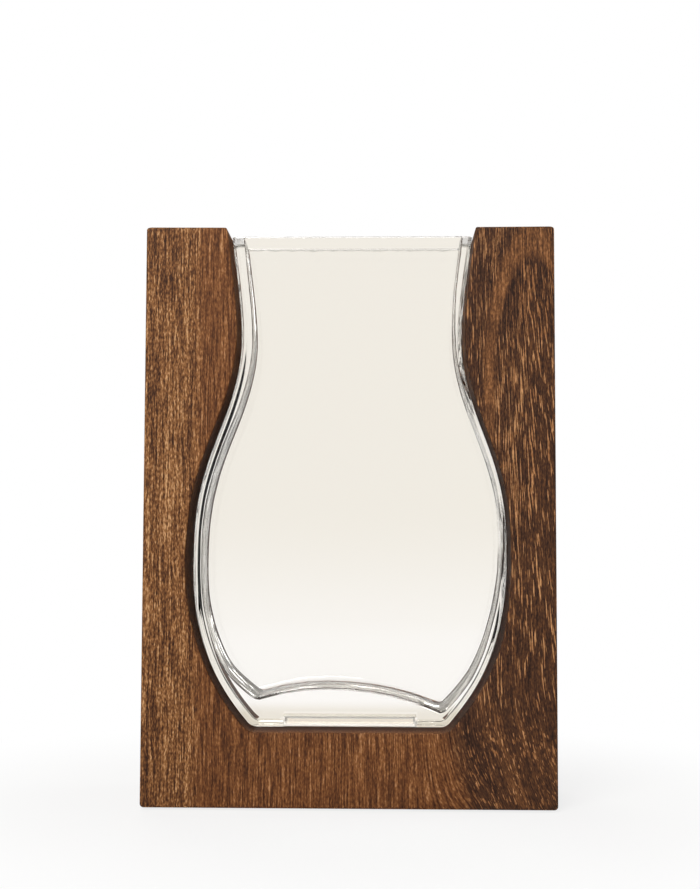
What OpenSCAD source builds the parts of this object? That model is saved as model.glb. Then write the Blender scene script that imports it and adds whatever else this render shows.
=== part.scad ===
// Framed vase: a slim glass vase that stands in a matching cut-out through an upright block of wood.
// All lengths are millimetres. X runs left to right, Y from front to back and Z up.
// The origin is on the ground, under the middle of the part.

/* [Vase outline] */
// Height of the vase, from its foot to its rim
vase_h = 263.5; // [235:0.1:290]
// Depth of the vase, front to back
vase_d = 38; // [28:1:60]
// Half width at the foot, where the side would meet the ground
foot_half = 53.3; // [48:0.1:58]
// Half width at the belly
belly_half = 84.4; // [76:0.1:92]
// Half width at the neck
neck_half = 59.7; // [52:0.1:63]
// Half width at the rim
rim_half = 65.3; // [61:0.1:72]
// Height of the belly above the foot
belly_z = 88; // [75:1:105]
// Height of the neck above the foot
neck_z = 207; // [190:1:225]

/* [Vase glass] */
// Thickness of the front and back panes
pane_t = 4.5; // [3:0.1:7]
// Thickness of the side walls from the belly up, measured level
side_t = 4.5; // [3:0.1:7]
// Thickness that the side walls grow to at the foot, measured level
foot_t = 16; // [10:0.5:18]
// Radius of the four upright edges, outside
edge_r = 5.5; // [4:0.1:8]
// Radius of the upright corners of the cavity
cavity_r = 3; // [1.5:0.1:5]
// Rounding of the foot's lower edge
foot_round = 3; // [1.5:0.1:4]
// Rounding of the rim
rim_round = 1.5; // [0.8:0.1:2]
// Height of the cavity's lowest ground above the foot
floor_low = 10; // [7:0.5:15]
// Height of the crest of the cavity's domed ground above the foot
floor_crest = 20.5; // [17:0.5:26]
// Radius of the bend from the side walls into the cavity's ground
bend_r = 6; // [4:0.5:9]
// Half width of the shallow hollow under the foot
hollow_half = 36; // [28:0.5:40]
// Width of the standing rim in front of and behind that hollow
hollow_edge = 9; // [7:0.5:12]
// Height of the shallow hollow under the foot
hollow_h = 2.4; // [1:0.1:4]

/* [Wooden block] */
// Wood left beside the belly on each side
arm_w = 23.1; // [15:0.1:40]
// Height of the ledge that the vase stands on, above the block's underside
ledge_h = 38.8; // [25:0.1:60]
// Distance from the block's front and back faces to the glass
recess = 19; // [5:1:30]
// Distance from the rim of the vase up to the top of the block
rim_drop = 1; // [0:0.1:5]
// Gap between the glass and the cut-out, all round the sides
side_gap = 0.5; // [0.4:0.1:2]
// Rounding of the block's outer edges
block_round = 2; // [1:0.1:4]

/* [Bumpers and pads] */
// Radius of a clear bumper under the vase
bumper_r = 4; // [2.5:0.1:5]
// Height of a clear bumper
bumper_h = 0.6; // [0.4:0.1:3]
// Clearance between the bumpers and the foot of the vase
seat_clear = 0.1; // [0.1:0.05:0.5]
// Distance from the front and back of the vase to the middle of a bumper
bumper_inset = 8; // [6:0.5:10]
// Radius of a felt pad under the block
pad_r = 7; // [5:0.5:10]
// Thickness of a felt pad
pad_h = 1; // [0.8:0.1:4]
// Distance from the block's outer faces to the middle of a pad
pad_inset = 15; // [13:0.5:20]

/* [Hidden] */

// Curves between two heights, as [share of the height, share of the width, slope in those shares]
foot_shares = [[0, 0, 2.44], [1, 1, 0]];
shoulder_shares = [[0, 0, 0], [0.32, 0.14, 1.05], [0.59, 0.555, 1.82], [1, 1, 0]];
rim_shares = [[0, 0, 0], [1, 1, 1]];

// Straight steps along each curve, and points round each corner
foot_steps = 9;
shoulder_steps = 4;
rim_steps = 6;
corner_points = 5;
round_steps = 4;
floor_steps = 10;

// How far a cutting shape runs past what it cuts
overrun = 5;

// Round shapes
pad_sides = 64;
bumper_sides = 48;
bumper_top_share = 0.8;

// Sizes that follow from the ones above
block_w = 2 * (belly_half + side_gap + arm_w);
block_d = vase_d + 2 * recess;
ledge_z = pad_h + ledge_h;
vase_z = ledge_z + bumper_h + seat_clear;
block_top = vase_z + vase_h + rim_drop;
block_h = block_top - pad_h;
foot_flat = foot_half - foot_round;
hollow_half_d = vase_d / 2 - hollow_edge;
bumper_x = (foot_flat + hollow_half) / 2;
bumper_y = vase_d / 2 - bumper_inset;
pad_x = block_w / 2 - pad_inset;
pad_y = block_d / 2 - pad_inset;

// Cubic curve through two stations [height, width, slope]
function blend(a, b, z) =
    let (run = b[0] - a[0], t = (z - a[0]) / run)
    (1 - 3 * t * t + 2 * t * t * t) * a[1] + (3 * t * t - 2 * t * t * t) * b[1]
    + run * ((t - 2 * t * t + t * t * t) * a[2] + (t * t * t - t * t) * b[2]);

// Steepness of that curve
function blend_slope(a, b, z) =
    let (run = b[0] - a[0], t = (z - a[0]) / run)
    (6 * t * t - 6 * t) * (a[1] - b[1]) / run
    + (1 - 4 * t + 3 * t * t) * a[2] + (3 * t * t - 2 * t) * b[2];

// Stations of a curve of shares, laid from [z0, x0] to [z1, x1]
function laid(shares, z0, x0, z1, x1) =
    [for (s = shares) [z0 + s[0] * (z1 - z0), x0 + s[1] * (x1 - x0), s[2] * (x1 - x0) / (z1 - z0)]];

foot_curve = laid(foot_shares, 0, foot_half, belly_z, belly_half);
shoulder_curve = laid(shoulder_shares, belly_z, belly_half, neck_z, neck_half);
rim_curve = laid(rim_shares, neck_z, neck_half, vase_h, rim_half);

// Spans of the whole outline, each as [lower station, upper station, steps]
spans = [
    [foot_curve[0], foot_curve[1], foot_steps],
    [shoulder_curve[0], shoulder_curve[1], shoulder_steps],
    [shoulder_curve[1], shoulder_curve[2], shoulder_steps],
    [shoulder_curve[2], shoulder_curve[3], shoulder_steps],
    [rim_curve[0], rim_curve[1], rim_steps]
];

// The span that holds a height above the foot
function span_at(z, i = 0) = i == len(spans) - 1 || z <= spans[i][1][0] ? spans[i] : span_at(z, i + 1);

// Half width of the vase, and its steepness, at a height above the foot
function half_at(z) = let (s = span_at(z)) blend(s[0], s[1], z);
function slope_at(z) = let (s = span_at(z)) blend_slope(s[0], s[1], z);

// Level thickness of the side wall at a height above the foot: it grows from the belly down
function wall_at(z) = side_t + (foot_t - side_t) * pow(max(0, 1 - z / belly_z), 2);

// Heights of the outline's points, from foot to rim
heights = concat([for (s = spans, i = [0 : s[2] - 1]) s[0][0] + (s[1][0] - s[0][0]) * i / s[2]], [vase_h]);

// A point of the outline, moved outwards by a gap, as [x, height above the foot]
function outline_point(z, gap) =
    let (s = slope_at(z), n = sqrt(1 + s * s))
    [half_at(z) + gap / n, z - gap * s / n];

// One level ring of the vase: half width, half depth, corner radius and height
function ring(hx, hy, r, z) =
    let (c = min(r, hx, hy))
    [for (q = [0 : 3], i = [0 : corner_points - 1])
        let (
            a = 90 * (q + i / (corner_points - 1)),
            sx = q == 0 || q == 3 ? 1 : -1,
            sy = q < 2 ? 1 : -1
        )
        [sx * (hx - c) + c * cos(a), sy * (hy - c) + c * sin(a), z]];

// Closed solid through rings that all have the same number of points
module ringed_solid(rings) {
    n = len(rings[0]);
    last = len(rings) - 1;
    sides = [for (k = [0 : last - 1], i = [0 : n - 1])
        let (a = k * n + i, b = k * n + (i + 1) % n)
        each [[a, a + n, b + n], [a, b + n, b]]];
    first_cap = [for (i = [1 : n - 2]) [0, i, i + 1]];
    last_cap = [for (i = [1 : n - 2]) [last * n, last * n + i + 1, last * n + i]];
    polyhedron(points = [for (r = rings) each r], faces = concat(first_cap, sides, last_cap));
}

// Rings of the vase, from the hollow under the foot, up the outside, over the rim, down the cavity
foot_rings = [
    ring(hollow_half - hollow_h, hollow_half_d - hollow_h, edge_r, hollow_h),
    ring(hollow_half, hollow_half_d, edge_r, 0),
    for (i = [0 : round_steps])
        let (a = 90 * i / round_steps, z = foot_round * (1 - cos(a)), in = foot_round * (1 - sin(a)))
        ring(half_at(z) - in, vase_d / 2 - in, edge_r, z)
];
outer_rings = [for (z = heights) if (z > foot_round && z < vase_h - rim_round)
    ring(half_at(z), vase_d / 2, edge_r, z)];
rim_rings = [for (side = [1, -1], i = [0 : round_steps - 1])
    let (
        a = side > 0 ? 90 * i / (round_steps - 1) : 90 - 90 * i / (round_steps - 1),
        z = vase_h - rim_round * (1 - sin(a)),
        in = rim_round * (1 - cos(a)),
        wall_in = side > 0 ? in : side_t - in,
        pane_in = side > 0 ? in : pane_t - in
    )
    ring(half_at(z) - wall_in, vase_d / 2 - pane_in, side > 0 ? edge_r : cavity_r, z)];
cavity_half_d = vase_d / 2 - pane_t;
cavity_low = floor_low + bend_r;
floor_half = half_at(floor_low) - wall_at(floor_low) - bend_r;
cavity_rings = [for (i = [len(heights) - 1 : -1 : 0]) let (z = heights[i])
    if (z < vase_h - rim_round && z > cavity_low) ring(half_at(z) - wall_at(z), cavity_half_d, cavity_r, z)];
bend_rings = [for (i = [0 : round_steps])
    let (
        a = 90 * i / round_steps,
        z = floor_low + (cavity_low - floor_low) * (1 - sin(a)),
        share = 1 - cos(a),
        wide = half_at(z) - wall_at(z)
    )
    ring(wide - share * (wide - floor_half), cavity_half_d - share * cavity_r, cavity_r, z)];

// The hump on the cavity's ground: a bow across the width, straight from pane to pane
module floor_hump() {
    bow = [for (i = [-floor_steps : floor_steps])
        let (s = i / floor_steps)
        [floor_half * s, floor_low + (floor_crest - floor_low) * (1 - s * s)]];
    rotate([90, 0, 0])
        linear_extrude(vase_d - pane_t, center = true)
            polygon(concat([[-floor_half, hollow_h + pane_t]], bow, [[floor_half, hollow_h + pane_t]]));
}

module glass_vase() {
    color([0.93, 0.95, 0.93, 0.4])
        translate([0, 0, vase_z])
            union() {
                ringed_solid(concat(foot_rings, outer_rings, rim_rings, cavity_rings, bend_rings));
                floor_hump();
            }
}

// Rectangle with round corners, standing on its lower edge
module rounded_sheet(w, h, r) {
    polygon([for (p = ring(w / 2, h / 2, r, 0)) [p[0], p[1] + h / 2]]);
}

// The block before it is cut: its outer edges are rounded as seen from the front, the side and above
module rounded_block() {
    intersection() {
        rotate([90, 0, 0])
            linear_extrude(block_d, center = true)
                rounded_sheet(block_w, block_h, block_round);
        rotate([90, 0, 90])
            linear_extrude(block_w, center = true)
                rounded_sheet(block_d, block_h, block_round);
        translate([0, -block_d / 2, 0])
            linear_extrude(block_h)
                rounded_sheet(block_w, block_d, block_round);
    }
}

// The cut-out: the outline of the vase with its gap, right through the block and open at the top
module cut_out() {
    side = [for (z = heights) outline_point(z, side_gap)];
    mouth = side[len(side) - 1];
    ledge_half = foot_half + side_gap;
    right = concat(
        [[ledge_half, ledge_z - vase_z]],
        [for (p = side) if (p[1] > ledge_z - vase_z + side_gap) p],
        [[mouth[0], vase_h + rim_drop + overrun]]
    );
    left = [for (i = [len(right) - 1 : -1 : 0]) [-right[i][0], right[i][1]]];
    translate([0, 0, vase_z])
        rotate([90, 0, 0])
            linear_extrude(block_d + 2 * overrun, center = true)
                polygon(concat(right, left));
}

module wood_frame() {
    color("#6e4a2e")
        difference() {
            translate([0, 0, pad_h])
                rounded_block();
            cut_out();
        }
}

// Copy 1 is at the front left, 2 at the front right, 3 at the back left and 4 at the back right
function side_of(copy) = copy % 2 == 0 ? 1 : -1;
function end_of(copy) = copy > 2 ? 1 : -1;

module vase_bumper(copy) {
    color([0.9, 0.9, 0.88, 0.6])
        translate([side_of(copy) * bumper_x, end_of(copy) * bumper_y, ledge_z])
            cylinder(h = bumper_h, r1 = bumper_r, r2 = bumper_r * bumper_top_share, $fn = bumper_sides);
}

module foot_pad(copy) {
    color("#3a3029")
        translate([side_of(copy) * pad_x, end_of(copy) * pad_y, 0])
            cylinder(h = pad_h, r = pad_r, $fn = pad_sides);
}

wood_frame();
glass_vase();
vase_bumper(1);  // vase_bumper_1
vase_bumper(2);  // vase_bumper_2
vase_bumper(3);  // vase_bumper_3
vase_bumper(4);  // vase_bumper_4
foot_pad(1);  // foot_pad_1
foot_pad(2);  // foot_pad_2
foot_pad(3);  // foot_pad_3
foot_pad(4);  // foot_pad_4
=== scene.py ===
import math
import bmesh
import bpy
from mathutils import Matrix, Vector, noise


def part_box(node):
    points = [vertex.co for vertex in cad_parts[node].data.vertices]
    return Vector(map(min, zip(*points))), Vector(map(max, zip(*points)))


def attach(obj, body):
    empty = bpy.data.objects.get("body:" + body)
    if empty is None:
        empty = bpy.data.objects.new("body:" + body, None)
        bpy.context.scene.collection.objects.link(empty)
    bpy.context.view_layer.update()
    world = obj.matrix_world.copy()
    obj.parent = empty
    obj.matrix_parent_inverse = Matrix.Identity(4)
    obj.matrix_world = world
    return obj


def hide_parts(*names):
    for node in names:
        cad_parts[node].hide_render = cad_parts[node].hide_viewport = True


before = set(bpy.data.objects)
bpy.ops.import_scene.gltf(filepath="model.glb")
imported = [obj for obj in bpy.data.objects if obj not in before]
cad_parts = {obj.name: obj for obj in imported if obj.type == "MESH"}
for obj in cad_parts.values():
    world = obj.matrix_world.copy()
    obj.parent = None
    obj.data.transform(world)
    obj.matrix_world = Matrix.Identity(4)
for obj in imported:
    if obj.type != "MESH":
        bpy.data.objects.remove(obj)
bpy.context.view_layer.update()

MM = 0.001


def stations(*pairs):
    """Places and values given in millimetres, in metres."""
    return [(place * MM, value * MM) for place, value in pairs]


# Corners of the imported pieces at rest, in metres
BLOCK_LOW, BLOCK_HIGH = (Vector(corner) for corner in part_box("wood_frame"))
VASE_LOW, VASE_HIGH = (Vector(corner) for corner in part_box("glass_vase"))
VASE_HEIGHT = VASE_HIGH.z - VASE_LOW.z
VASE_HALF_DEPTH = VASE_HIGH.y
BELLY_HALF = VASE_HIGH.x
FOOT_Z = VASE_LOW.z
LEDGE_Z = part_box("vase_bumper_1")[0][2]

# Outline of the vase: height above the foot, half width, and outward steepness there
OUTLINE = [
    (0.0, 51.6 * MM, 0.93),
    (30.0 * MM, 72.4 * MM, 0.47),
    (88.0 * MM, BELLY_HALF - 0.25 * MM, 0.0),
    (126.1 * MM, 80.9 * MM, -0.218),
    (158.2 * MM, 70.7 * MM, -0.378),
    (207.0 * MM, 59.7 * MM, 0.0),
    (VASE_HEIGHT, 65.3 * MM, 0.099),
]
# The blown vase leans a little: height above the foot, and how far its middle lies to the right
LEAN = stations((0, -0.5), (60, -0.4), (95, 0), (150, 0.3), (220, 0.6)) + [(VASE_HEIGHT, 0.65 * MM)]

# Glass: rounding of the upright edges by height above the foot, and thickness of the panes
EDGE_ROUND = stations((25, 0.6), (50, 1.4), (76, 3))
PANE = 4.5 * MM
# Level thickness of the side walls by height above the foot; the cavity's ground is lower on the right
WALL = stations((62, 3.8), (90, 3.7), (150, 4.2), (207, 5.3)) + [(VASE_HEIGHT, 5.7 * MM)]
LEFT_WALL = stations((12, 14.8), (16, 12.6), (20, 10.2), (24, 8), (28, 6.3), (33, 5.3), (40, 4.7),
                     (52, 4)) + WALL
RIGHT_WALL = stations((7, 9), (9, 7.4), (14, 6.2), (20, 5.2), (26, 4.4), (40, 4), (52, 3.8), (64, 3.1),
                      (82, 2.1), (101, 1.7), (125, 1.3), (158, 1.3), (184, 1.9), (206, 2.8),
                      (234, 4.5)) + [(VASE_HEIGHT, 4.7 * MM)]
CAVITY_ROUND = 0.9 * MM
FOOT_ROUND = 2.2 * MM
# The foot's front and back edges are rounded by this share only
FOOT_SLIGHT = 0.3
RIM_ROUND = 0.5 * MM
# The cavity's ground: its even height before it is bent, and how high up the bending is felt
CAVITY_LOW = 10.0 * MM
GROUND_FELT = 60.0 * MM
# Its height at either end, its bow between them, and how much higher it is behind than in the middle
FLOOR_EDGE_X = 48.0 * MM
FLOOR_LEFT = 14.4 * MM
FLOOR_RIGHT = 7.6 * MM
FLOOR_BOW = 8.5 * MM
FLOOR_CURVE = 2.2
FLOOR_TILT = 1.7 * MM
# Its rounding: up the side walls, in from the panes, and how much higher it is halfway along
FLOOR_BEND = 2.0 * MM
PANE_BEND = 3.5 * MM
BEND_LIFT = 2.2 * MM
# The hollow under the foot, the turn of its upper edge and the rounded lip at its lower edge
HOLLOW_HALF_X = 35.8 * MM
HOLLOW_HALF_Y = 10.0 * MM
HOLLOW_TOP = 4.6 * MM
HOLLOW_ROUND = 1.1 * MM
HOLLOW_CORNER = 1.0 * MM
HOLLOW_LIP = 1.0 * MM
# Fine waves in the sides: how deep they are outside and in the cavity, and how many to the metre
OUTER_WAVE = 0.25 * MM
CAVITY_WAVE = 0.8 * MM
WAVE_ACROSS = 250.0
WAVE_UP = 25.0
WAVE_OCTAVES = 3
WAVE_SMOOTHNESS = 0.8
WAVE_FINER = 2.4
# Shift in the noise that keeps the waves of the left side apart from those of the right side
WAVE_APART = 9.0
# Steps of the rings of the glass: along a pane, round a corner, along a side and up the wall
PANE_STEPS, CORNER_STEPS, SIDE_STEPS = 8, 22, 24
RING_STEPS = 220
PANE_JOIN = 1.0 * MM
# Steps of its rounded edges
HOLLOW_STEPS, LIP_STEPS, FOOT_STEPS, RIM_STEPS, GROUND_STEPS = 6, 5, 8, 12, 8

# Wood
TOP_ROUND = 1.6 * MM
SIDE_ROUND = 1.6 * MM
CUT_ROUND = 0.7 * MM
BOTTOM_CORNER = 2.0 * MM
LEDGE_CORNER = 3.0 * MM
# Room that is kept under the rounded top for its own rings
TOP_ROOM = 0.5 * MM
# Gap between glass and wood by height above the foot
LEFT_GAP = stations((0, 0.4), (45, 0.4), (66, 0.9), (86, 1.5), (112, 0.9), (172, 0.4)) + [
    (VASE_HEIGHT, 0.4 * MM)]
RIGHT_GAP = stations((0, 0.9), (36, 1.4), (88, 0.4)) + [(VASE_HEIGHT, 0.4 * MM)]
# Steps down an arm, round a lower corner and along the ledge
ARM_STEPS, BEND_STEPS, LEDGE_STEPS = 130, 12, 70
# Steps of a section of the block: half a wall, a rounded edge, and the front; and of the top's rounding
WALL_STEPS, EDGE_STEPS, FRONT_STEPS, TOP_STEPS = 4, 6, 10, 5

# Small pieces: profiles from the lower side to the upper one, as shares of radius and height
DOME = [(0.9, 0.0), (0.97, 0.0), (1.0, 0.1), (1.0, 0.25), (0.97, 0.4), (0.9, 0.55), (0.78, 0.72),
        (0.6, 0.87), (0.4, 0.96), (0.2, 1.0)]
PAD = [(0.9, 0.0), (0.97, 0.02), (1.0, 0.2), (0.99, 0.5), (1.0, 0.8), (0.98, 1.0), (0.9, 1.0)]
ROUND_STEPS = 64

# Backdrop as it shows through the glass, low and high, and the room in front and further round
LOW_CREAM = (1.0, 0.973, 0.946, 1.0)
HIGH_CREAM = (0.898, 0.853, 0.778, 1.0)
ROOM_GREY = (0.75, 0.75, 0.75, 1.0)
ROOM_DARK = (0.35, 0.35, 0.35, 1.0)
WHITE = (1.0, 1.0, 1.0, 1.0)
SOFT_LIGHT = (1.0, 0.98, 0.96, 1.0)
SOFT_STRENGTH = 0.15
FLOOR_HALF = 1.9

# Lamps: name, place, size and power; all of them face one point
LAMP_AIM = (0.0, 0.0, 0.15)
LAMPS = [
    ("key", (-0.75, -1.7, 1.45), (1.0, 0.8), 31.0),
    ("front", (-0.2, -1.9, 1.7), (0.8, 0.6), 9.0),
    ("right", (1.6, 0.3, 0.8), (0.8, 0.8), 8.0),
    ("back", (-0.6, 1.6, 1.3), (1.0, 0.8), 12.0),
]

# Camera, fitted to the block's corners and the rims of the vase
CAMERA_AT = (18.33 * MM, -771.35 * MM, 139.15 * MM)
CAMERA_TURN = math.radians(1.397)
CAMERA_RISE = math.radians(3.906)
CAMERA_ROLL = math.radians(0.16)
CAMERA_LENS = 56.85


# Small helpers

def srgb(red, green, blue):
    """Linear colour of an 8-bit screen colour."""
    def linear(value):
        share = value / 255
        return share / 12.92 if share <= 0.04045 else ((share + 0.055) / 1.055) ** 2.4
    return (linear(red), linear(green), linear(blue), 1.0)


def lerp(low, high, share):
    return low + (high - low) * share


def even(value, low, high):
    return (value - low) / (high - low)


def eased(value, low, high):
    """0 at low, 1 at high and an even S between them; low may be the larger one."""
    share = min(1.0, max(0.0, even(value, low, high)))
    return share * share * (3 - 2 * share)


def along(pairs, place, share=eased):
    """Value at a place among (place, value) pairs, eased between neighbours."""
    if place <= pairs[0][0]:
        return pairs[0][1]
    for (low, low_value), (high, high_value) in zip(pairs, pairs[1:]):
        if place <= high:
            return lerp(low_value, high_value, share(place, low, high))
    return pairs[-1][1]


def spread(first, last, count):
    """Count + 1 even steps from first to last."""
    return [lerp(first, last, i / count) for i in range(count + 1)]


def angles(first, last, count):
    """Angles in even steps from first to last, given in degrees, in radians."""
    return [math.radians(degrees) for degrees in spread(first, last, count)]


def new_mesh(name, points, faces, material):
    mesh = bpy.data.meshes.new(name)
    build = bmesh.new()
    corners = [build.verts.new(point) for point in points]
    for face in faces:
        build.faces.new([corners[index] for index in face]).smooth = True
    bmesh.ops.recalc_face_normals(build, faces=build.faces)
    build.to_mesh(mesh)
    build.free()
    return new_object(name, mesh, material)


def new_object(name, data, material=None):
    if material:
        data.materials.append(material)
    piece = bpy.data.objects.new(name, data)
    bpy.context.scene.collection.objects.link(piece)
    return piece


def skin(rings):
    """Closed surface through rings of points. Point i of a ring mirrors point n - i from front to
    back, so the first and last rings are closed by strips from front to back."""
    count = len(rings[0])
    points = [point for ring in rings for point in ring]
    faces = []
    for k in range(len(rings) - 1):
        low, high = k * count, (k + 1) * count
        for i in range(count):
            j = (i + 1) % count
            faces.append((low + i, low + j, high + j, high + i))
    for base in (0, (len(rings) - 1) * count):
        for i in range(count // 2):
            loop = [base + i, base + i + 1, base + (count - i - 1) % count, base + (count - i) % count]
            faces.append(tuple(dict.fromkeys(loop)))
    return points, faces


class Graph:
    """The node tree of a material or world, built by short calls."""

    def __init__(self, owner, output="ShaderNodeOutputMaterial"):
        owner.use_nodes = True
        self.tree = owner.node_tree
        self.tree.nodes.clear()
        self.output = self.tree.nodes.new(output)

    def feed(self, socket, value):
        if isinstance(value, bpy.types.NodeSocket):
            self.tree.links.new(value, socket)
        else:
            socket.default_value = value

    def node(self, kind, inputs=(), **settings):
        node = self.tree.nodes.new(kind)
        for name, value in settings.items():
            setattr(node, name, value)
        for name, value in dict(inputs).items():
            self.feed(node.inputs[name], value)
        return node

    def shader(self, kind, inputs):
        return self.node(kind, inputs).outputs[0]

    def coordinates(self, kind):
        return self.node("ShaderNodeTexCoord").outputs[kind]

    def math(self, operation, *values):
        return self.node("ShaderNodeMath", enumerate(values), operation=operation).outputs[0]

    def total(self, first, *others):
        for other in others:
            first = self.math("ADD", first, other)
        return first

    def product(self, first, *others):
        for other in others:
            first = self.math("MULTIPLY", first, other)
        return first

    def length(self, *values):
        squares = [self.product(value, value) for value in values]
        return self.math("SQRT", self.total(*squares))

    def centred(self, value, gain):
        """Noise from 0 to 1 moved to lie evenly about 0, times a gain."""
        return self.product(self.math("SUBTRACT", value, 0.5), gain)

    def joined(self, x, y, z):
        return self.node("ShaderNodeCombineXYZ", {0: x, 1: y, 2: z}).outputs[0]

    def split(self, vector):
        return self.node("ShaderNodeSeparateXYZ", {0: vector}).outputs[:3]

    def noise(self, vector, scale, detail=2.0, roughness=0.5):
        """Noise from 0 to 1, as its value and as its colour."""
        inputs = {"Vector": vector, "Scale": scale, "Detail": detail, "Roughness": roughness}
        return self.node("ShaderNodeTexNoise", inputs).outputs[:2]

    def band(self, value, low, high, to_low=0.0, to_high=1.0):
        """Value remapped from low..high to to_low..to_high, eased and kept within them."""
        inputs = {"Value": value, "From Min": low, "From Max": high, "To Min": to_low, "To Max": to_high}
        return self.node("ShaderNodeMapRange", inputs, interpolation_type="SMOOTHSTEP").outputs[0]

    def ramp(self, value, stops):
        node = self.node("ShaderNodeValToRGB", {"Fac": value})
        elements = node.color_ramp.elements
        while len(elements) < len(stops):
            elements.new(1.0)
        for element, (place, colour) in zip(elements, stops):
            element.position = place
            element.color = colour
        return node.outputs["Color"]

    def mixed(self, share, first, second, blend="MIX"):
        node = self.node("ShaderNodeMix", (), data_type="RGBA", blend_type=blend)
        for index, value in ((0, share), (6, first), (7, second)):
            self.feed(node.inputs[index], value)
        return node.outputs[2]

    def bump(self, height, strength, distance):
        inputs = {"Strength": strength, "Distance": distance, "Height": height}
        return self.node("ShaderNodeBump", inputs).outputs[0]

    def shaders(self, share, first, second):
        return self.node("ShaderNodeMixShader", {0: share, 1: first, 2: second}).outputs[0]

    def finish(self, shader):
        self.feed(self.output.inputs["Surface"], shader)


def new_material(name):
    material = bpy.data.materials.new(name)
    return material, Graph(material)


# Shape of the vase

def half_at(z):
    """Half width of the vase at a height above its foot."""
    for (z0, x0, s0), (z1, x1, s1) in zip(OUTLINE, OUTLINE[1:]):
        if z <= z1 or z1 == OUTLINE[-1][0]:
            run = z1 - z0
            t = (z - z0) / run
            return ((1 - 3 * t ** 2 + 2 * t ** 3) * x0 + (3 * t ** 2 - 2 * t ** 3) * x1
                    + run * ((t - 2 * t ** 2 + t ** 3) * s0 + (t ** 3 - t ** 2) * s1))


def wave_share(x, y, z, half_x):
    """Share of the waves' depth at a point of a side, in lines that run up along the outline."""
    up = z * WAVE_UP + math.copysign(WAVE_APART, x)
    place = Vector(((half_x - abs(x)) * WAVE_ACROSS, y * WAVE_ACROSS, up))
    return (noise.fractal(place, WAVE_SMOOTHNESS, WAVE_FINER, WAVE_OCTAVES) + 1) / 2


def rounded_ring(half_x, half_y, radius, z, middle=0.0, wave=0.0):
    """Level ring of points, from the middle of its right side round by the back. Its sides and
    corners are waved inwards by up to the given depth."""
    radius = min(radius, half_x, half_y)
    straight_x, straight_y = half_x - radius, half_y - radius
    corner = angles(0.0, 90.0, CORNER_STEPS)
    back = [(half_x, y) for y in spread(0.0, straight_y, SIDE_STEPS)[:-1]]
    back += [(straight_x + radius * math.cos(a), straight_y + radius * math.sin(a)) for a in corner]
    back += [(x, half_y) for x in spread(straight_x - PANE_JOIN, PANE_JOIN - straight_x, PANE_STEPS)]
    back += [(-straight_x - radius * math.sin(a), straight_y + radius * math.cos(a)) for a in corner]
    back += [(-half_x, y) for y in spread(straight_y, 0.0, SIDE_STEPS)[1:]]
    ring = []
    for x, y in back + [(x, -y) for x, y in reversed(back[1:-1])]:
        out = Vector((max(0.0, abs(x) - straight_x), max(0.0, abs(y) - straight_y), 0.0))
        depth = 0.0
        if wave and out.x > 0:
            out.normalize()
            depth = wave * out.x * wave_share(x, y, z, half_x)
        waved_x = x + middle - math.copysign(out.x * depth, x)
        waved_y = y - math.copysign(out.y * depth, y)
        ring.append(Vector((waved_x, waved_y, z)))
    return ring


def floor_at(x):
    """Height of the cavity's ground above the foot."""
    share = min(1.0, abs(x) / FLOOR_EDGE_X)
    across = (min(FLOOR_EDGE_X, max(-FLOOR_EDGE_X, x)) / FLOOR_EDGE_X + 1) / 2
    return lerp(FLOOR_LEFT, FLOOR_RIGHT, across) + FLOOR_BOW * (1 - share ** FLOOR_CURVE)


def hollow_rings():
    """The hollow under the foot, from the middle of its ceiling down to its lip."""
    rings = []
    for share in (0.25, 0.5, 0.75):
        rings.append(rounded_ring(HOLLOW_HALF_X - HOLLOW_ROUND, (HOLLOW_HALF_Y - HOLLOW_ROUND) * share,
                                  HOLLOW_CORNER, HOLLOW_TOP))
    for a in angles(90.0, 0.0, HOLLOW_STEPS):
        inset = HOLLOW_ROUND * math.cos(a)
        rings.append(rounded_ring(HOLLOW_HALF_X - inset, HOLLOW_HALF_Y - inset, HOLLOW_CORNER,
                                  HOLLOW_TOP - HOLLOW_ROUND * (1 - math.sin(a))))
    for a in angles(0.0, 90.0, LIP_STEPS):
        flare = HOLLOW_LIP * (1 - math.cos(a))
        rings.append(rounded_ring(HOLLOW_HALF_X + flare, HOLLOW_HALF_Y + flare, HOLLOW_CORNER,
                                  HOLLOW_LIP * (1 - math.sin(a))))
    return rings


def outer_rings():
    rings = []
    for a in angles(0.0, 90.0, FOOT_STEPS):
        z = FOOT_ROUND * (1 - math.cos(a))
        inset = FOOT_ROUND * (1 - math.sin(a))
        rings.append(rounded_ring(half_at(z) - inset, VASE_HALF_DEPTH - FOOT_SLIGHT * inset,
                                  along(EDGE_ROUND, z), z, along(LEAN, z)))
    for z in spread(FOOT_ROUND, VASE_HEIGHT - RIM_ROUND, RING_STEPS)[1:]:
        rings.append(rounded_ring(half_at(z), VASE_HALF_DEPTH, along(EDGE_ROUND, z), z, along(LEAN, z),
                                  OUTER_WAVE))
    return rings


def rim_rings():
    rings = []
    z0 = VASE_HEIGHT - RIM_ROUND
    lean = along(LEAN, z0)
    wall = WALL[-1][1]
    for a in angles(0.0, 180.0, RIM_STEPS)[1:-1]:
        share = (1 - math.cos(a)) / 2
        rings.append(rounded_ring(half_at(z0) - wall * share, VASE_HALF_DEPTH - PANE * share,
                                  lerp(along(EDGE_ROUND, z0), CAVITY_ROUND, share),
                                  z0 + RIM_ROUND * math.sin(a), lean))
    return rings


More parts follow.
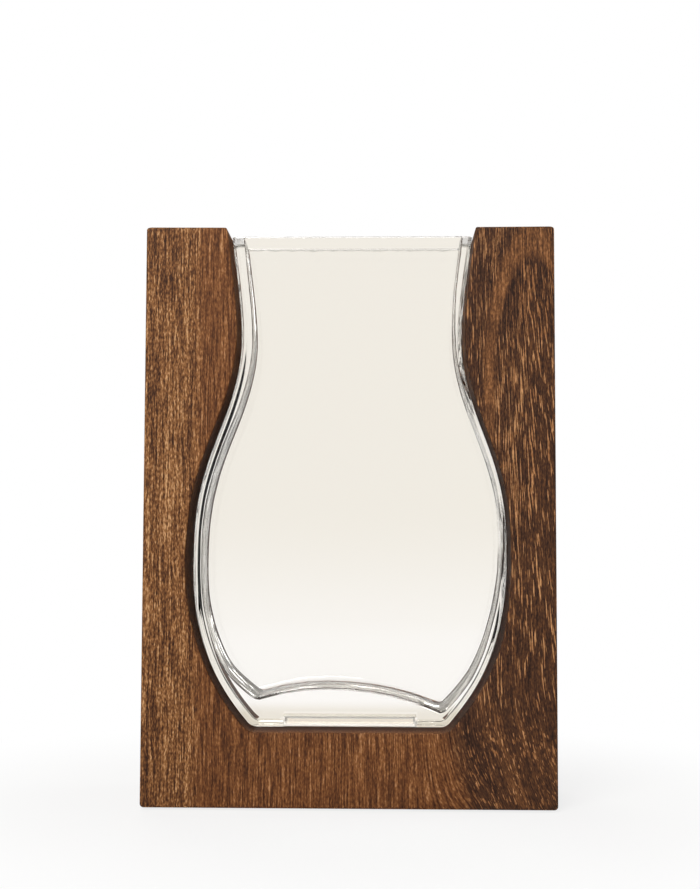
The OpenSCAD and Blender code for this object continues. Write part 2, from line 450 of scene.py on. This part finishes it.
def cavity_ring(z, inset, half_y, radius, lift=1.0):
    """Ring of the cavity; low rings are bent to the shape of its ground."""
    share = 1 - eased(z, CAVITY_LOW + FLOOR_BEND, GROUND_FELT)
    left_z = z + share * (FLOOR_LEFT - CAVITY_LOW)
    right_z = z + share * (FLOOR_RIGHT - CAVITY_LOW)
    left = half_at(left_z) - along(LEFT_WALL, left_z, even) - inset - along(LEAN, left_z)
    right = half_at(right_z) - along(RIGHT_WALL, right_z, even) - inset + along(LEAN, right_z)
    ring = rounded_ring((left + right) / 2, half_y, radius, z, (right - left) / 2, CAVITY_WAVE)
    for point in ring:
        lifted = lift * BEND_LIFT * (1 - min(1.0, abs(point.x) / FLOOR_EDGE_X) ** 2)
        tilted = FLOOR_TILT * point.y / VASE_HALF_DEPTH
        point.z += share * (floor_at(point.x) - CAVITY_LOW + lifted + tilted)
    return ring


def cavity_rings():
    half_y = VASE_HALF_DEPTH - PANE
    bend_top = CAVITY_LOW + FLOOR_BEND
    heights = spread(VASE_HEIGHT - RIM_ROUND, bend_top, RING_STEPS)
    rings = [cavity_ring(z, 0.0, half_y, CAVITY_ROUND) for z in heights]
    for a in angles(0.0, 90.0, GROUND_STEPS)[1:]:
        rings.append(cavity_ring(bend_top - FLOOR_BEND * math.sin(a), FLOOR_BEND * (1 - math.cos(a)),
                                 half_y - PANE_BEND * (1 - math.cos(a)), CAVITY_ROUND, 1 - math.sin(a)))
    for share in (0.75, 0.5, 0.25):
        inner = (half_y - PANE_BEND) * share
        rings.append(cavity_ring(CAVITY_LOW, FLOOR_BEND, inner, inner, 0.0))
    return rings


def glass_vase(material):
    rings = hollow_rings() + outer_rings() + rim_rings() + cavity_rings()
    for ring in rings:
        for point in ring:
            point.z += FOOT_Z
    piece = new_mesh("glass_vase_blown", *skin(rings), material)
    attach(piece, "vase")
    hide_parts("glass_vase")


# Shape of the wooden block

def cut_point(z, side):
    """Point of the cut-out's wall at a height above the vase's foot, on the right (1) or left (-1)."""
    gap = along(RIGHT_GAP if side > 0 else LEFT_GAP, z)
    return Vector((along(LEAN, z) + side * (half_at(z) + gap), 0.0, z + FOOT_Z))


def ledge_bend(before, start):
    """Rounded corner from the last two points of the cut-out's wall to the ledge."""
    run = (start.z - LEDGE_Z) * (before.x - start.x) / (before.z - start.z)
    towards = Vector((start.x - run, 0.0, LEDGE_Z))
    stop = Vector((towards.x * (1 - LEDGE_CORNER / abs(towards.x)), 0.0, LEDGE_Z))
    return [(1 - t) ** 2 * start + 2 * t * (1 - t) * towards + t ** 2 * stop
            for t in spread(0.0, 1.0, BEND_STEPS)]


def cut_line():
    """The cut-out from the top of the left arm, along the ledge, to the top of the right arm."""
    heights = spread(BLOCK_HIGH.z - FOOT_Z, LEDGE_CORNER, ARM_STEPS)
    left = [cut_point(z, -1) for z in heights]
    right = [cut_point(z, 1) for z in heights]
    left_bend, right_bend = ledge_bend(*left[-2:]), ledge_bend(*right[-2:])
    ledge = [left_bend[-1].lerp(right_bend[-1], t) for t in spread(0.0, 1.0, LEDGE_STEPS)]
    return left + left_bend[1:] + ledge[1:-1] + right_bend[:0:-1] + right[::-1]


def arc(middle_x, middle_z, radius, first, last):
    return [Vector((middle_x + radius * math.cos(a), 0.0, middle_z + radius * math.sin(a)))
            for a in angles(first, last, BEND_STEPS)]


def outer_line():
    """The block's own outline, with as many points as the cut-out has."""
    low, high = BLOCK_LOW, BLOCK_HIGH
    r = BOTTOM_CORNER
    left = [Vector((low.x, 0.0, z)) for z in spread(high.z, low.z + r, ARM_STEPS)]
    left += arc(low.x + r, low.z + r, r, 180, 270)[1:]
    bottom = [Vector((x, 0.0, low.z)) for x in spread(low.x + r, high.x - r, LEDGE_STEPS)]
    right = arc(high.x - r, low.z + r, r, 270, 360)
    right += [Vector((high.x, 0.0, z)) for z in spread(low.z + r, high.z, ARM_STEPS)][1:]
    return left + bottom[1:-1] + right


def normals(line, side):
    """Level or upright directions square to a line, to its left (1) or right (-1)."""
    found = []
    for i in range(len(line)):
        run = line[min(i + 1, len(line) - 1)] - line[max(i - 1, 0)]
        found.append(Vector((-run.z, 0.0, run.x)).normalized() * side)
    return found


def block_ring(cut, cut_in, edge, edge_in, shrink=0.0):
    """Section of the block between a point of the cut-out and one of its outline."""
    def at(point, y):
        return point + Vector((0.0, y, 0.0))

    half = BLOCK_HIGH.y - shrink
    turns = angles(0.0, 90.0, EDGE_STEPS)
    inner = cut + cut_in * shrink
    outer = edge + edge_in * shrink
    start = inner + cut_in * CUT_ROUND
    stop = outer + edge_in * SIDE_ROUND
    front = [at(inner, y) for y in spread(0.0, -half + CUT_ROUND, WALL_STEPS)[:-1]]
    front += [at(inner + cut_in * CUT_ROUND * (1 - math.cos(a)), -half + CUT_ROUND * (1 - math.sin(a)))
              for a in turns]
    front += [at(start.lerp(stop, t), -half) for t in spread(0.0, 1.0, FRONT_STEPS)[1:-1]]
    front += [at(outer + edge_in * SIDE_ROUND * (1 - math.sin(a)), -half + SIDE_ROUND * (1 - math.cos(a)))
              for a in turns]
    front += [at(outer, y) for y in spread(-half + SIDE_ROUND, 0.0, WALL_STEPS)[1:]]
    return front + [Vector((p.x, -p.y, p.z)) for p in reversed(front[1:-1])]


def top_rings(station):
    """Rings of the rounded top of one arm, from its side up to its smallest ring."""
    rings = []
    for a in angles(0.0, 90.0, TOP_STEPS):
        ring = block_ring(*station, TOP_ROUND * (1 - math.cos(a)))
        for point in ring:
            point.z -= TOP_ROUND * (1 - math.sin(a))
        rings.append(ring)
    return rings


def wood_frame(material):
    cut, edge = cut_line(), outer_line()
    places = list(zip(cut, normals(cut, -1), edge, normals(edge, 1)))
    top = BLOCK_HIGH.z - TOP_ROUND - TOP_ROOM
    middle = [block_ring(*place) for place in places[1:-1]]
    middle = [ring for ring in middle if min(point.z for point in ring) < top]
    rings = top_rings(places[0])[::-1] + middle + top_rings(places[-1])
    piece = new_mesh("wood_frame_block", *skin(rings), material)
    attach(piece, "frame")
    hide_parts("wood_frame")


# Wood

# The dark part on the right: where it begins and is full, and how that leans outwards lower down
DARK_EDGE = (36 * MM, 50 * MM)
DARK_LEAN = 0.3
# Below this height the grain fans out, the more the further right it is
FAN_TOP = 70 * MM
FAN_REACH = (26 * MM, 72 * MM)
FAN = -3.4
# The livelier and redder strip along the left edge
OUTER_EDGE = (-74 * MM, -86 * MM)
OUTER_TINT = (1.16, 1.28, 1.34, 1.0)
# Heart of the tree: across, towards the front, the height where it is nearest, and its bow
HEART_X = 100 * MM
HEART_FRONT = 46 * MM
HEART_Z = 130 * MM
HEART_BOW = 0.66
# The arch near the top right corner: its middle, and its half width, height and depth
ARCH_X, ARCH_Z = 96.4 * MM, 219 * MM
ARCH_HALF_X, ARCH_HIGH, ARCH_DEEP = 23 * MM, 80 * MM, 50 * MM
# A pale streak low on the right that leans to the left as it rises
STREAK_X = 89 * MM
STREAK_LEAN = 0.33
# Noise above the first level begins to be a fleck, and from the second it is one
FLECK_EDGE = (0.584, 0.608)
STREAKED_TONES = [(0.0, srgb(44, 22, 11)), (0.3, srgb(81, 47, 25)), (0.5, srgb(108, 65, 35)),
                  (0.75, srgb(145, 95, 55)), (1.0, srgb(192, 142, 98))]
DARK_TONES = [(0.0, srgb(38, 21, 13)), (0.22, srgb(68, 42, 27)), (0.45, srgb(102, 65, 38)),
              (0.7, srgb(154, 103, 63)), (1.0, srgb(206, 153, 104))]
# Painted shade, multiplied into the walls of the cut-out
WALL_SHADE_TINT = (0.24, 0.165, 0.115, 1.0)


class Grain:
    """The grain at a point of the wood, as values that the parts of its figure share."""

    def __init__(self, g):
        self.g = g
        self.x, self.y, self.z = x, y, z = g.split(g.coordinates("Object"))
        drop = g.math("MAXIMUM", g.math("SUBTRACT", FAN_TOP, z), 0.0)
        self.right = g.band(g.math("SUBTRACT", x, g.product(drop, DARK_LEAN)), *DARK_EDGE)
        self.outer = g.band(x, *OUTER_EDGE)
        self.slow = g.split(g.noise(self.drawn_out(x, y, 0.25), 26.0)[1])
        quick = g.split(g.noise(self.drawn_out(x, y, 0.2), 150.0)[1])
        lively = g.math("MAXIMUM", self.outer, self.right)
        self.shake = g.centred(quick[0], g.band(lively, 0.0, 1.0, 0.4 * MM, 1.1 * MM))
        wander = g.centred(self.slow[0], g.band(x, -30 * MM, 60 * MM, 2.5 * MM, 7 * MM))
        fan = g.product(drop, drop, g.band(x, *FAN_REACH, 0.0, FAN))
        self.across = g.total(x, wander, self.shake, fan)
        self.inward = g.total(y, g.centred(self.slow[1], 9 * MM), g.centred(quick[1], 1.2 * MM))
        self.fibre = self.lines(0.035, 1300.0, 2.0, 0.6)
        self.speck = self.lines(0.3, 1700.0)
        self.strip = self.lines(0.055, 260.0)

    def drawn_out(self, across, inward, share):
        """Coordinates in which the grain runs long: heights count only by a share."""
        return self.g.joined(across, inward, self.g.product(self.z, share))

    def lines(self, share, scale, detail=1.0, roughness=0.5, across=None):
        """Noise that follows the wandering grain."""
        place = self.drawn_out(self.across if across is None else across, self.inward, share)
        return self.g.noise(place, scale, detail, roughness)[0]

    def patches(self, share, scale, detail):
        """Noise that doesn't follow it."""
        return self.g.noise(self.drawn_out(self.x, self.y, share), scale, detail)[0]


def growth_layers(g, grain):
    """Rings about the heart of the tree, which leans away from the front face above and below."""
    rise = g.math("SUBTRACT", grain.z, HEART_Z)
    bow = g.product(rise, rise, HEART_BOW)
    from_x = g.total(grain.x, -HEART_X, g.centred(grain.slow[0], 3 * MM), grain.shake)
    from_y = g.total(grain.y, HEART_FRONT, bow, g.centred(grain.slow[1], 3 * MM))
    inputs = {"W": g.length(from_x, from_y), "Scale": 90.0, "Detail": 2.0, "Roughness": 0.6}
    return g.node("ShaderNodeTexNoise", inputs, noise_dimensions="1D").outputs[0]


def streaked_part(g, grain):
    """Tone and colour of the even streaks on the left and under the vase."""
    outer = grain.outer
    tone = g.total(0.5, g.centred(grain.strip, g.band(outer, 0.0, 1.0, 0.12, 0.7)),
                   g.centred(grain.speck, g.band(outer, 0.0, 1.0, 0.95, 1.6)),
                   g.centred(grain.fibre, g.band(outer, 0.0, 1.0, 1.65, 1.9)),
                   g.centred(grain.patches(0.4, 22.0, 2.0), 0.16))
    colour = g.ramp(tone, STREAKED_TONES)
    return tone, g.mixed(outer, colour, g.mixed(1.0, colour, OUTER_TINT, "MULTIPLY"))


def arch_part(g, grain, behind):
    """Share of the arch itself, and of the darker wood under it."""
    from_x = g.total(grain.x, -ARCH_X, g.centred(grain.slow[0], 4 * MM), grain.shake)
    from_z = g.total(grain.z, -ARCH_Z, g.centred(grain.slow[1], 6 * MM))
    ring = g.length(g.math("DIVIDE", from_x, ARCH_HALF_X),
                    g.math("DIVIDE", g.math("MAXIMUM", from_z, 0.0), ARCH_HIGH),
                    g.math("DIVIDE", behind, ARCH_DEEP))
    arch = g.product(g.band(ring, 0.84, 0.92), g.band(ring, 1.16, 1.04),
                     g.band(grain.z, 165 * MM, 215 * MM))
    under = g.product(g.band(ring, 0.94, 0.84), g.band(grain.z, 235 * MM, 265 * MM))
    return arch, under


def pale_streak(g, grain):
    off = g.total(grain.x, g.product(grain.z, STREAK_LEAN), -STREAK_X, g.centred(grain.slow[0], 5 * MM))
    return g.product(g.band(g.math("ABSOLUTE", off), 6 * MM, 3 * MM), g.band(grain.z, 90 * MM, 60 * MM))


def flecks(g, grain, height, short):
    """Pale flecks, long above and short and crowded low down."""
    slant = g.product(grain.z, g.band(grain.x, 66 * MM, 96 * MM, 0.0, 0.09))
    long_fleck = grain.lines(0.06, 1250.0, 1.0, 0.4, g.total(grain.across, slant))
    short_fleck = grain.lines(0.17, 1400.0, 1.0, 0.4)
    level = g.total(g.mixed(short, long_fleck, short_fleck), g.centred(grain.lines(0.3, 130.0), 0.14),
                    g.centred(grain.patches(0.5, 38.0, 1.0), 0.2),
                    g.band(height, 240 * MM, 110 * MM, 0.0, -0.036), g.product(short, -0.01))
    return g.product(g.band(level, *FLECK_EDGE), g.band(short, 0.0, 1.0, 1.0, 0.8))


def flecked_part(g, grain):
    """Colour of the dark part on the right, where the growth rings come to the face at a slant."""
    behind = g.total(grain.y, BLOCK_HIGH.y)
    waver = g.product(g.centred(grain.slow[0], 60 * MM), g.band(behind, 0.0, 20 * MM))
    height = g.total(grain.z, g.product(behind, 0.8), waver)
    short = g.band(height, 60 * MM, 36 * MM)
    arch, under = arch_part(g, grain, behind)
    fleck = g.product(flecks(g, grain, height, short), g.band(arch, 0.0, 1.0, 1.0, 0.2),
                      g.band(under, 0.0, 1.0, 1.0, 0.85))
    tone = g.total(0.22, g.product(fleck, 0.57), g.product(arch, 0.26),
                   g.product(pale_streak(g, grain), 0.1), g.product(under, -0.08),
                   g.centred(grain.fibre, 0.9), g.centred(grain.speck, 0.8),
                   g.centred(growth_layers(g, grain), 0.3),
                   g.product(g.centred(grain.strip, 0.5), short))
    return g.ramp(tone, DARK_TONES)


def painted_wall_shade(g, grain):
    """Where the walls of the cut-out are, and how much painted shade darkens them: most of all deep in it
    and low down.
    """
    facing, upward = g.split(g.coordinates("Normal"))[1:]
    walls = g.band(g.math("ABSOLUTE", facing), 0.75, 0.35)
    level = g.product(g.band(grain.z, BLOCK_LOW.z + 4 * MM, BLOCK_LOW.z + 9 * MM),
                      g.band(grain.z, BLOCK_HIGH.z - 2 * MM, BLOCK_HIGH.z - 3 * MM))
    within = g.band(g.math("ABSOLUTE", grain.x), BLOCK_HIGH.x - 10 * MM, BLOCK_HIGH.x - 14 * MM)
    at_face = g.band(upward, 0.6, 0.95, 0.7, 0.0)
    deep = g.band(g.math("ABSOLUTE", grain.y), BLOCK_HIGH.y, BLOCK_HIGH.y - 16 * MM, at_face, 1.0)
    # The painted shade is lighter towards the top of the arms, as if more light fell in there
    low = g.band(grain.z, 236 * MM, 205 * MM, 0.5, 1.0)
    return walls, g.product(walls, level, within, deep, low)


def wood_material():
    """Open-grained brown wood, streaked on the left, and dark and flecked on the right."""
    material, g = new_material("wood")
    grain = Grain(g)
    tone, streaked = streaked_part(g, grain)
    colour = g.mixed(grain.right, streaked, flecked_part(g, grain))
    walls, wall_shade = painted_wall_shade(g, grain)
    g.finish(g.shader("ShaderNodeBsdfPrincipled", {
        # The cut-out's walls are darkened by painted shade
        "Base Color": g.mixed(wall_shade, colour, WALL_SHADE_TINT, "MULTIPLY"),
        "Roughness": 0.6,
        "Specular IOR Level": g.band(walls, 0.0, 0.6, 0.15, 0.03),
        "Normal": g.bump(tone, 0.3, 0.1 * MM),
    }))
    return material


# Glass

THICK_TINT = (0.84, 0.81, 0.735, 1.0)
THIN_TINT = (0.998, 0.998, 0.99, 1.0)
# Painted shade: a darker tint at the cavity's ground, standing in for the dark line the bent glass shows
# there
GROUND_SHADE_TINT = (0.66, 0.63, 0.6, 1.0)
HOLLOW_TINT = (0.98, 0.955, 0.92, 1.0)
RIM_TINT = (0.76, 0.735, 0.68, 1.0)
SHADOW_TINT = (0.8, 0.8, 0.79, 1.0)


def ground_share(g, z, upward):
    """Where the cavity's ground is."""
    heights = g.product(g.band(z, FOOT_Z + 6 * MM, FOOT_Z + 7 * MM),
                        g.band(z, FOOT_Z + 40 * MM, FOOT_Z + 30 * MM))
    return g.product(g.band(g.math("ABSOLUTE", upward), 0.6, 0.9), heights)


def hollow_shares(g, x, y, z):
    """Where the hollow under the foot is, and its edge, which is made pale and partly matt as a painted
    highlight.
    """
    top = FOOT_Z + HOLLOW_TOP
    hollow = g.product(g.band(z, top + 0.8 * MM, top),
                       g.band(x, HOLLOW_HALF_X + 1.2 * MM, HOLLOW_HALF_X + 0.2 * MM))
    ends = g.band(x, HOLLOW_HALF_X - 1.6 * MM, HOLLOW_HALF_X - 1.0 * MM)
    above = g.band(z, top - 1.4 * MM, top - 0.9 * MM)
    below = g.band(z, FOOT_Z + 1.4 * MM, FOOT_Z + 0.9 * MM)
    side = g.math("MAXIMUM", g.math("MAXIMUM", above, ends), below)
    near = g.band(y, HOLLOW_HALF_Y + 2 * MM, HOLLOW_HALF_Y + 1 * MM)
    return hollow, g.product(hollow, near, side)


def rim_share(g, across, behind, z):
    """Where the rim is, with an uneven lower border that is deeper behind."""
    uneven = g.noise(g.joined(across, 0.0, 0.0), 110.0, 3.0)[0]
    ground_down = g.product(uneven, g.band(behind, 0.0, 10 * MM, 0.9 * MM, 2.6 * MM))
    return g.band(g.total(z, ground_down), VASE_HIGH.z, VASE_HIGH.z + 0.3 * MM)


def glass_material():
    """Clear glass, warmer towards the foot, where it is thick, and darkened at the cavity's ground by
    painted shade.
    """
    material, g = new_material("glass")
    across, behind, z = g.split(g.coordinates("Object"))
    x, y = g.math("ABSOLUTE", across), g.math("ABSOLUTE", behind)
    ground = ground_share(g, z, g.split(g.coordinates("Normal"))[2])
    hollow, edge = hollow_shares(g, x, y, z)
    rim = rim_share(g, across, behind, z)
    tint = g.mixed(g.band(z, FOOT_Z + 6 * MM, FOOT_Z + 12 * MM), THICK_TINT, THIN_TINT)
    for share, colour in ((ground, GROUND_SHADE_TINT), (hollow, HOLLOW_TINT), (rim, RIM_TINT)):
        tint = g.mixed(share, tint, colour)
    # The hollow's edge and the rim turn partly matt; along the hollow's edge the pale matt line is a
    # painted highlight
    matt_edge_and_rim = g.math("MAXIMUM", edge, rim)
    glass = g.shader("ShaderNodeBsdfPrincipled", {
        "Base Color": tint,
        "Roughness": 0.0,
        "IOR": 1.5,
        "Transmission Weight": g.band(matt_edge_and_rim, 0.0, 1.0, 1.0, 0.4),
    })
    clear = g.shader("ShaderNodeBsdfTransparent", {"Color": SHADOW_TINT})
    g.finish(g.shaders(g.node("ShaderNodeLightPath").outputs["Is Shadow Ray"], glass, clear))
    return material


# Surroundings

def seen_clearly(g, path):
    """1 for a mirrored or refracted view that no matt surface has scattered."""
    clear = g.math("MAXIMUM", path["Is Glossy Ray"], path["Is Transmission Ray"])
    return g.product(clear, g.math("LESS_THAN", path["Diffuse Depth"], 0.5))


def studio_world():
    world = bpy.data.worlds.new("studio")
    bpy.context.scene.world = world
    g = Graph(world, "ShaderNodeOutputWorld")
    path = g.node("ShaderNodeLightPath").outputs
    y, z = g.split(g.coordinates("Generated"))[1:]
    cream = g.mixed(g.band(z, -0.10, 0.03), LOW_CREAM, HIGH_CREAM)
    room = g.mixed(g.band(y, -1.0, 0.0), ROOM_GREY, ROOM_DARK)
    seen = g.mixed(g.band(y, -0.1, 0.4), room, cream)
    light = g.shader("ShaderNodeBackground", {"Color": SOFT_LIGHT, "Strength": SOFT_STRENGTH})
    shown = g.shader("ShaderNodeBackground", {"Color": seen, "Strength": 1.0})
    white = g.shader("ShaderNodeBackground", {"Color": WHITE, "Strength": 1.0})
    g.finish(g.shaders(path["Is Camera Ray"], g.shaders(seen_clearly(g, path), light, shown), white))


def floor_material():
    """Matt white near the block and plain white further off; cream and grey through the glass."""
    material, g = new_material("floor")
    path = g.node("ShaderNodeLightPath").outputs
    place = g.coordinates("Object")
    away = g.node("ShaderNodeVectorMath", {0: place}, operation="LENGTH").outputs["Value"]
    matt = g.shader("ShaderNodeBsdfDiffuse", {"Color": srgb(236, 234, 230)})
    white = g.shader("ShaderNodeEmission", {"Color": WHITE, "Strength": 1.0})
    cream = g.mixed(g.band(away, 1.0, FLOOR_HALF, 0.0, 0.31), LOW_CREAM, HIGH_CREAM)
    behind = g.math("GREATER_THAN", g.split(place)[1], 0.0)
    seen = g.mixed(behind, ROOM_GREY, cream)
    shown = g.shader("ShaderNodeEmission", {"Color": seen, "Strength": 1.0})
    near = g.shaders(g.band(away, 0.10, 0.32, 0.8, 1.0), matt, white)
    g.finish(g.shaders(path["Is Camera Ray"], g.shaders(seen_clearly(g, path), matt, shown), near))
    return material


def floor():
    mesh = bpy.data.meshes.new("floor")
    half = FLOOR_HALF
    corners = [(-half, -half, 0.0), (half, -half, 0.0), (half, half, 0.0), (-half, half, 0.0)]
    mesh.from_pydata(corners, [], [(0, 1, 2, 3)])
    piece = new_object("floor", mesh, floor_material())


def lamp(name, at, size, power):
    light = bpy.data.lights.new(name, "AREA")
    light.shape = "RECTANGLE"
    light.size, light.size_y = size
    light.energy = power
    body = new_object(name, light)
    body.location = at
    body.rotation_euler = (Vector(LAMP_AIM) - Vector(at)).to_track_quat("-Z", "Y").to_euler()


def camera():
    lens = bpy.data.cameras.new("camera")
    lens.lens = CAMERA_LENS
    turn = (Matrix.Rotation(CAMERA_TURN, 3, "Z") @ Matrix.Rotation(math.pi / 2 + CAMERA_RISE, 3, "X")
            @ Matrix.Rotation(CAMERA_ROLL, 3, "Z"))
    body = new_object("camera", lens)
    body.location = CAMERA_AT
    body.rotation_euler = turn.to_euler()
    bpy.context.scene.camera = body


# Small pieces

def felt_material():
    material, g = new_material("felt")
    fluff = g.noise(g.coordinates("Object"), 1500.0, 3.0, 0.7)[0]
    g.finish(g.shader("ShaderNodeBsdfPrincipled", {
        "Base Color": g.ramp(fluff, [(0.3, srgb(44, 36, 31)), (0.7, srgb(74, 63, 55))]),
        "Roughness": 1.0,
        "Normal": g.bump(fluff, 0.6, 0.2 * MM),
        "Specular IOR Level": 0.1,
    }))
    return material


def bumper_material():
    """Clear soft plastic."""
    material, g = new_material("bumper")
    g.finish(g.shader("ShaderNodeBsdfPrincipled", {
        "Base Color": (0.9, 0.9, 0.88, 1.0),
        "Roughness": 0.15,
        "IOR": 1.45,
        "Transmission Weight": 0.95,
    }))
    return material


def round_piece(node, profile, material):
    """Small turned piece in the place of a packed one."""
    low, high = (Vector(corner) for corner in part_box(node))
    middle = (low + high) / 2
    radius, height = (high.x - low.x) / 2, high.z - low.z
    turns = angles(0.0, 360.0, ROUND_STEPS)[:-1]
    rings = [[Vector((middle.x + radius * share * math.cos(a), middle.y + radius * share * math.sin(a),
                      low.z + height * up)) for a in turns] for share, up in profile]
    piece = new_mesh(node + "_round", *skin(rings), material)
    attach(piece, "frame")
    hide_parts(node)


def small_pieces():
    """Clear domes under the vase's foot and felt pads under the block."""
    clear, felt = bumper_material(), felt_material()
    for number in range(1, 5):
        round_piece("vase_bumper_%d" % number, DOME, clear)
        round_piece("foot_pad_%d" % number, PAD, felt)


bpy.context.scene.view_settings.view_transform = "Standard"
camera()
studio_world()
floor()
for values in LAMPS:
    lamp(*values)
wood_frame(wood_material())
glass_vase(glass_material())
small_pieces()
